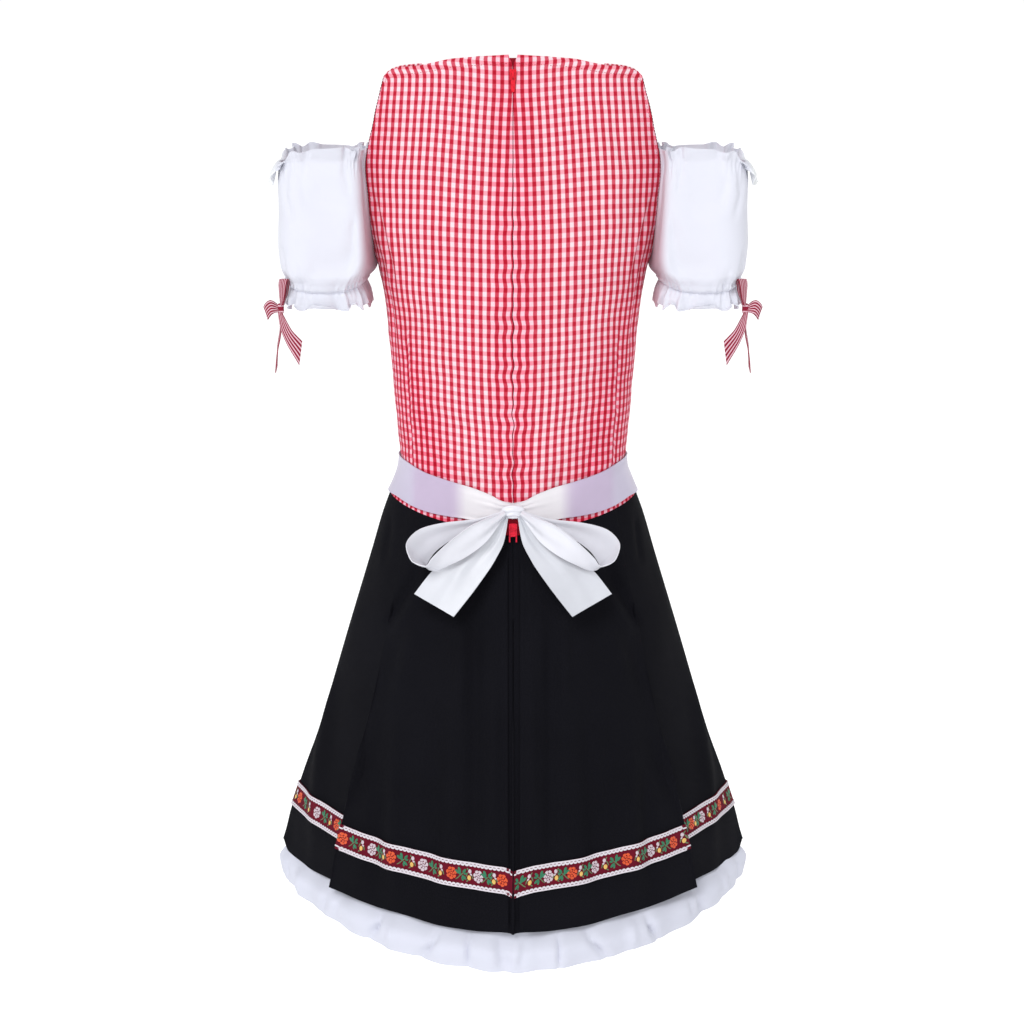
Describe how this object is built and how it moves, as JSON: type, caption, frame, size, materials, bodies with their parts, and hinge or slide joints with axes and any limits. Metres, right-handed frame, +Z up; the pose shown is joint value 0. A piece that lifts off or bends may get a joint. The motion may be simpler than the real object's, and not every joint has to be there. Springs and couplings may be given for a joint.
{
  "type": "dirndl dress",
  "caption": "Filled-out folk dress with a checked bodice, puff sleeves with ribbon bows, a satin sash tied at the back, a flared skirt with a flower border and a petticoat frill.",
  "frame": {"origin": "midway between the tops of the shoulders, where the wearer carries the dress", "axes": "+X to the wearer's right, +Y to the front, +Z up"},
  "size_m": [0.5032, 0.4482, 0.871],
  "materials": {
    "red_gingham": "woven cotton, red and white checks",
    "striped_ribbon": "woven cotton ribbon, red and white",
    "white_cotton": "plain white cotton",
    "petticoat_lawn": "plain white cotton lawn",
    "black_twill": "matt black twill",
    "woven_flower_ribbon": "jacquard woven flowers with white lace edges",
    "white_satin": "satin",
    "red_zip_tape": "woven tape",
    "red_moulding": "moulded plastic",
    "red_enamel": "red enamel on metal"
  },
  "bodies": {
    "dress": {"bodice_back_left": "red_gingham", "bodice_back_right": "red_gingham", "bodice_front_left": "red_gingham", "bodice_front_right": "red_gingham", "petticoat_back": "petticoat_lawn", "petticoat_front": "petticoat_lawn", "sash_band": "white_satin", "sash_knot": "white_satin", "sash_loop_left": "white_satin", "sash_loop_right": "white_satin", "sash_tail_left": "white_satin", "sash_tail_right": "white_satin", "skirt_back_left": "black_twill", "skirt_back_right": "black_twill", "skirt_front": "black_twill", "sleeve_bow_knot_left": "striped_ribbon", "sleeve_bow_knot_right": "striped_ribbon", "sleeve_bow_loop_out_left": "striped_ribbon", "sleeve_bow_loop_out_right": "striped_ribbon", "sleeve_bow_loop_up_left": "striped_ribbon", "sleeve_bow_loop_up_right": "striped_ribbon", "sleeve_bow_tail_thin_left": "striped_ribbon", "sleeve_bow_tail_thin_right": "striped_ribbon", "sleeve_bow_tail_wide_left": "striped_ribbon", "sleeve_bow_tail_wide_right": "striped_ribbon", "sleeve_left": "white_cotton", "sleeve_right": "white_cotton", "trim_back_left": "woven_flower_ribbon", "trim_back_right": "woven_flower_ribbon", "trim_front": "woven_flower_ribbon", "zip_end_stop": "red_moulding", "zip_end_tape": "red_zip_tape", "zip_slider": "red_enamel", "zip_tape": "red_zip_tape"},
    "pull": {"zip_pull": "red_enamel"}
  },
  "joints": [
    {"name": "pull_hinge", "type": "hinge", "parent": "dress", "child": "pull", "pos_m": [0, -0.06229, -0.0185], "axis": [-1, 0, 0], "range_deg": [0, 165]}
  ]
}
